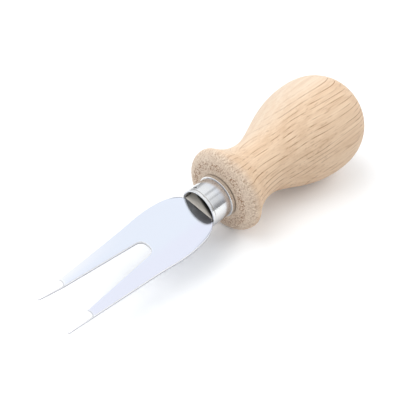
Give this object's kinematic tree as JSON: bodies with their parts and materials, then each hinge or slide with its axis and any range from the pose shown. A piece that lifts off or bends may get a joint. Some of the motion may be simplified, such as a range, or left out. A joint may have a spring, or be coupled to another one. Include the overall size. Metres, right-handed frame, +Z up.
{
  "type": "two-tined serving fork",
  "caption": "Small serving fork with a turned wooden bulb handle, a steel ferrule and a flat forked steel blade with ground points.",
  "frame": {"origin": "on the surface the fork lies on, under the middle of its bounding box", "axes": "+Z up, +X along the fork from the points to the butt, +Y towards the blade edge that is raised by its roll"},
  "size_m": [0.1236, 0.0352, 0.0351],
  "materials": {
    "turned_wood": "pale open-pored hardwood, sanded, thin matt oil",
    "polished_ferrule": "polished stainless steel tube with a rolled lip",
    "satin_blade": "bright satin stainless steel with ground points"
  },
  "bodies": {
    "root": {"handle": "turned_wood", "ferrule": "polished_ferrule", "fork_blade": "satin_blade"}
  },
  "joints": []
}
